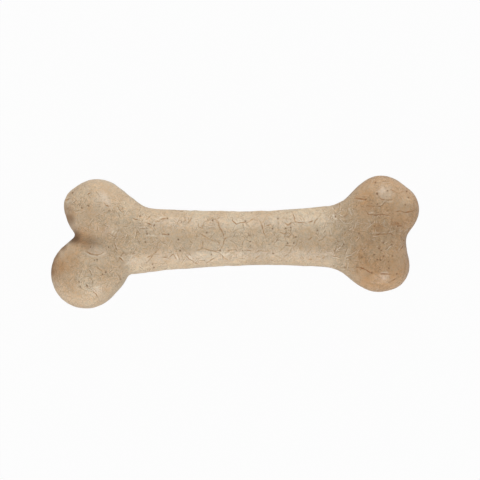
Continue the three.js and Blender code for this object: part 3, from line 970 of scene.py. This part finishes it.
def tone_group():
    """Changes of tone in the compound: warm and cool mottling, and grain."""
    if "bone_tone" in bpy.data.node_groups:
        return bpy.data.node_groups["bone_tone"]
    nodes, vector, result = new_group("bone_tone", ("warm", "cool", "mottle", "grain"))
    blotch = nodes.noise(nodes.vector("ADD", vector, (0.41, 0.29, 0.37)), 2.6 * MM, 2.0, 0.6)["Fac"]
    speck = nodes.noise(nodes.vector("ADD", vector, (0.13, 0.47, 0.19)), 0.95 * MM, 1.0, 0.6)["Fac"]
    warm = nodes.larger(nodes.ramp(blotch, 0.5, 0.68), nodes.ramp(speck, 0.52, 0.68))
    warmer = nodes.calc("MINIMUM", nodes.ramp(blotch, 0.32, 0.5), nodes.ramp(speck, 0.32, 0.48))
    nodes.feed(result["warm"], warm)
    nodes.feed(result["cool"], nodes.minus(1.0, warmer))
    nodes.feed(result["mottle"], nodes.noise(vector, 3.0 * MM, 3.0, 0.62)["Fac"])
    nodes.feed(result["grain"], nodes.noise(vector, 0.8 * MM, 2.0, 0.6)["Fac"])
    return nodes.tree


def bone_material(scene, name, roughness, mottle, grain):
    """A moulded compound: cream to tan, mottled, cracked and full of short strokes, with painted shade in its
    grooves and painted highlights on its lips, glints and crowns.
    """
    if name in bpy.data.materials:
        return bpy.data.materials[name]
    colours = scene.bone_colour
    material = bpy.data.materials.new(name)
    material.use_nodes = True
    nodes = Nodes(material.node_tree)
    shader = nodes.tree.nodes["Principled BSDF"].inputs
    vector = nodes.add("ShaderNodeTexCoord")["Object"]
    masks = {mask: nodes.add("ShaderNodeAttribute", attribute_name=mask)["Fac"] for mask in MASKS}
    tone = nodes.add("ShaderNodeGroup", {"Vector": vector}, node_tree=tone_group())
    strokes = nodes.add("ShaderNodeGroup", {"Vector": vector}, node_tree=strokes_group())
    busy = nodes.minus(1.0, nodes.times(masks["smooth"], CALM))
    lines = {label: nodes.times(line, busy) for label, line in strokes.items()}
    values = {**masks, **lines, **dict(tone.items())}
    shown = {label: nodes.times(values[label], share) for label, share in SHOWN.items()}

    swing = nodes.times(nodes.minus(tone["grain"], 0.5), nodes.times(busy, grain))
    shade = nodes.plus(nodes.times(tone["mottle"], mottle), swing)
    shade = nodes.plus(shade, 1 - mottle / 2)
    plain = nodes.add("ShaderNodeCombineColor", {0: shade, 1: shade, 2: shade})[0]
    gather = nodes.minus(nodes.times(masks["dull"], 0.25), nodes.times(masks["tan"], 0.25))
    # The pale lip beside each stroke is painted light on its raised edge.
    lit_stroke_lips = nodes.times(lines["lip"], nodes.plus(gather, 0.6))
    # Specks and pits in dark brown, and in that brown also the painted shade of the grooves and rims.
    spots = nodes.larger(nodes.larger(shown["specks"], shown["pit"]), masks["grime"])
    skin = nodes.mix(masks["tan"], colours.cream, colours.tan)
    for share, layer, blend in (
        (shown["dull"], colours.grey, "MIX"),
        (shown["warm"], colours.warm, "MULTIPLY"),
        (shown["cool"], colours.cool, "MULTIPLY"),
        (1.0, plain, "MULTIPLY"),
        (shown["groove"], colours.stroke, "MIX"),
        # Pale ridges, and painted highlights on lips, glints and crowns.
        (nodes.larger(lit_stroke_lips, shown["pale"]), colours.pale, "MIX"),
        (shown["hairlines"], colours.stroke, "MIX"),
        (shown["crack"], colours.crack, "MULTIPLY"),
        (spots, colours.grime, "MIX"),
    ):
        skin = nodes.mix(share, skin, layer, blend)
    nodes.feed(shader["Base Color"], skin)

    # Cracks, pits and the painted shade of the grooves are rougher.
    dirt = nodes.larger(nodes.larger(masks["crack"], masks["pit"]), masks["grime"])
    rough = nodes.plus(nodes.times(tone["mottle"], 0.24), nodes.times(dirt, 0.35))
    rough = nodes.minus(rough, nodes.times(masks["tan"], 0.09))
    nodes.feed(shader["Roughness"], nodes.plus(rough, roughness - 0.12, clamp=True))
    raised = nodes.plus(nodes.times(tone["grain"], nodes.times(busy, 0.4)), nodes.times(lines["lip"], 0.8))
    sunk = nodes.plus(nodes.times(lines["hairlines"], 0.6), nodes.times(lines["groove"], 0.8))
    height = nodes.minus(raised, sunk)
    bump = nodes.add("ShaderNodeBump", {"Height": height, "Strength": 0.6, "Distance": 0.12 * MM})
    nodes.feed(shader["Normal"], bump["Normal"])
    shader["IOR"].default_value = 1.48
    return material


class BONE_OT_shaft(bpy.types.Operator):
    """Cut the waisted shaft out of the skin"""
    bl_idname = "bone.shaft"
    bl_label = "Shaft"

    def execute(self, context):
        cut_piece("shaft", context.scene, ("broad_knuckle", "narrow_knuckle"), "DIFFERENCE", "pale_compound")
        return {"FINISHED"}


class BONE_OT_knuckles(bpy.types.Operator):
    """Cut the broad and the narrow knuckle out of the skin"""
    bl_idname = "bone.knuckles"
    bl_label = "Knuckles"

    def execute(self, context):
        for name in ("broad_knuckle", "narrow_knuckle"):
            cut_piece(name, context.scene, (name,), "INTERSECT", "tan_compound")
        return {"FINISHED"}


def soft_lamp(name, stage):
    """A round soft lamp aimed at the middle of the bone, with or without a glint."""
    azimuth, elevation, width, glint = LAMPS[name]
    lamp = bpy.data.lights.new(name, "AREA")
    lamp.shape = "DISK"
    lamp.size = width
    lamp.energy = getattr(stage, name)
    holder = linked(name, lamp)
    holder.visible_glossy = glint
    turn, rise = math.radians(azimuth), math.radians(elevation)
    way = Vector((math.cos(turn) * math.cos(rise), math.sin(turn) * math.cos(rise), math.sin(rise)))
    holder.matrix_world = (Matrix.Translation(PHOTO_MIDDLE + way * stage.lamp_distance)
                           @ way.to_track_quat("Z", "Y").to_matrix().to_4x4())


def white_floor(paint):
    """The floor's material: grey to the bone, and white to the camera and to glints."""
    material = bpy.data.materials.new("white_floor")
    material.use_nodes = True
    nodes = Nodes(material.node_tree)
    shader = nodes.tree.nodes["Principled BSDF"]
    nodes.feed(shader.inputs["Base Color"], paint)
    nodes.feed(shader.inputs["Roughness"], 0.9)
    path = nodes.add("ShaderNodeLightPath")
    seen = nodes.larger(path["Is Camera Ray"], nodes.times(path["Is Glossy Ray"], GLINT_WHITE))
    seen = nodes.times(seen, FLOOR_WHITE)
    white = nodes.add("ShaderNodeEmission", {"Color": WHITE, "Strength": 1.0})[0]
    mixed = nodes.add("ShaderNodeMixShader", {0: seen, 1: shader.outputs[0], 2: white})[0]
    nodes.feed(nodes.tree.nodes["Material Output"].inputs["Surface"], mixed)
    return material


def studio(ambient):
    """The world: faint plain light, and white to the camera."""
    world = bpy.data.worlds.new("studio")
    world.use_nodes = True
    nodes = Nodes(world.node_tree)
    air = nodes.tree.nodes["Background"]
    nodes.feed(air.inputs["Color"], WHITE)
    nodes.feed(air.inputs["Strength"], ambient)
    path = nodes.add("ShaderNodeLightPath")
    white = nodes.add("ShaderNodeBackground", {"Color": WHITE, "Strength": 1.0})[0]
    mixed = nodes.add("ShaderNodeMixShader", {0: path["Is Camera Ray"], 1: air.outputs[0], 2: white})[0]
    nodes.feed(nodes.tree.nodes["World Output"].inputs["Surface"], mixed)
    return world


class BONE_OT_stage(bpy.types.Operator):
    """Set the floor, the lights and the camera"""
    bl_idname = "bone.stage"
    bl_label = "Stage"

    def execute(self, context):
        scene = context.scene
        stage = scene.bone_stage
        scene.view_settings.view_transform = "Standard"

        bm = bmesh.new()
        bmesh.ops.create_grid(bm, x_segments=1, y_segments=1, size=FLOOR_REACH)
        floor = linked("floor", mesh_of(bm, "floor"))
        floor.data.materials.append(white_floor(scene.bone_colour.floor))

        scene.world = studio(stage.ambient)
        for name in LAMPS:
            soft_lamp(name, stage)

        lens = bpy.data.cameras.new("camera")
        lens.sensor_width = SENSOR
        lens.lens = SENSOR * stage.distance / stage.view_width
        camera = linked("camera", lens)
        camera.matrix_world = (Matrix.Translation(PHOTO_MIDDLE + Vector((0, 0, stage.distance)))
                               @ Matrix.Rotation(-PHOTO_TILT, 4, "Z"))
        scene.camera = camera
        return {"FINISHED"}


class BONE_PT_panel(bpy.types.Panel):
    """Settings and steps of the chew bone"""
    bl_label = "Chew bone"
    bl_idname = "BONE_PT_panel"
    bl_space_type = "VIEW_3D"
    bl_region_type = "UI"
    bl_category = "Chew bone"

    def draw(self, context):
        for settings in (context.scene.bone_skin, context.scene.bone_colour, context.scene.bone_stage):
            box = self.layout.box()
            for key in settings.__annotations__:
                box.prop(settings, key)
        for step in (BONE_OT_shaft, BONE_OT_knuckles, BONE_OT_stage):
            self.layout.operator(step.bl_idname)


CLASSES = (BoneSkinSettings, BoneColourSettings, BoneStageSettings, BONE_OT_shaft, BONE_OT_knuckles,
           BONE_OT_stage, BONE_PT_panel)


def register():
    for cls in CLASSES:
        bpy.utils.register_class(cls)
    bpy.types.Scene.bone_skin = PointerProperty(type=BoneSkinSettings)
    bpy.types.Scene.bone_colour = PointerProperty(type=BoneColourSettings)
    bpy.types.Scene.bone_stage = PointerProperty(type=BoneStageSettings)


def unregister():
    del bpy.types.Scene.bone_skin, bpy.types.Scene.bone_colour, bpy.types.Scene.bone_stage
    for cls in reversed(CLASSES):
        bpy.utils.unregister_class(cls)


def main():
    register()
    bpy.ops.bone.shaft()
    bpy.ops.bone.knuckles()
    bpy.ops.bone.stage()
    bpy.data.meshes.remove(bpy.data.meshes[BLANK])


if __name__ == "__main__":
    main()
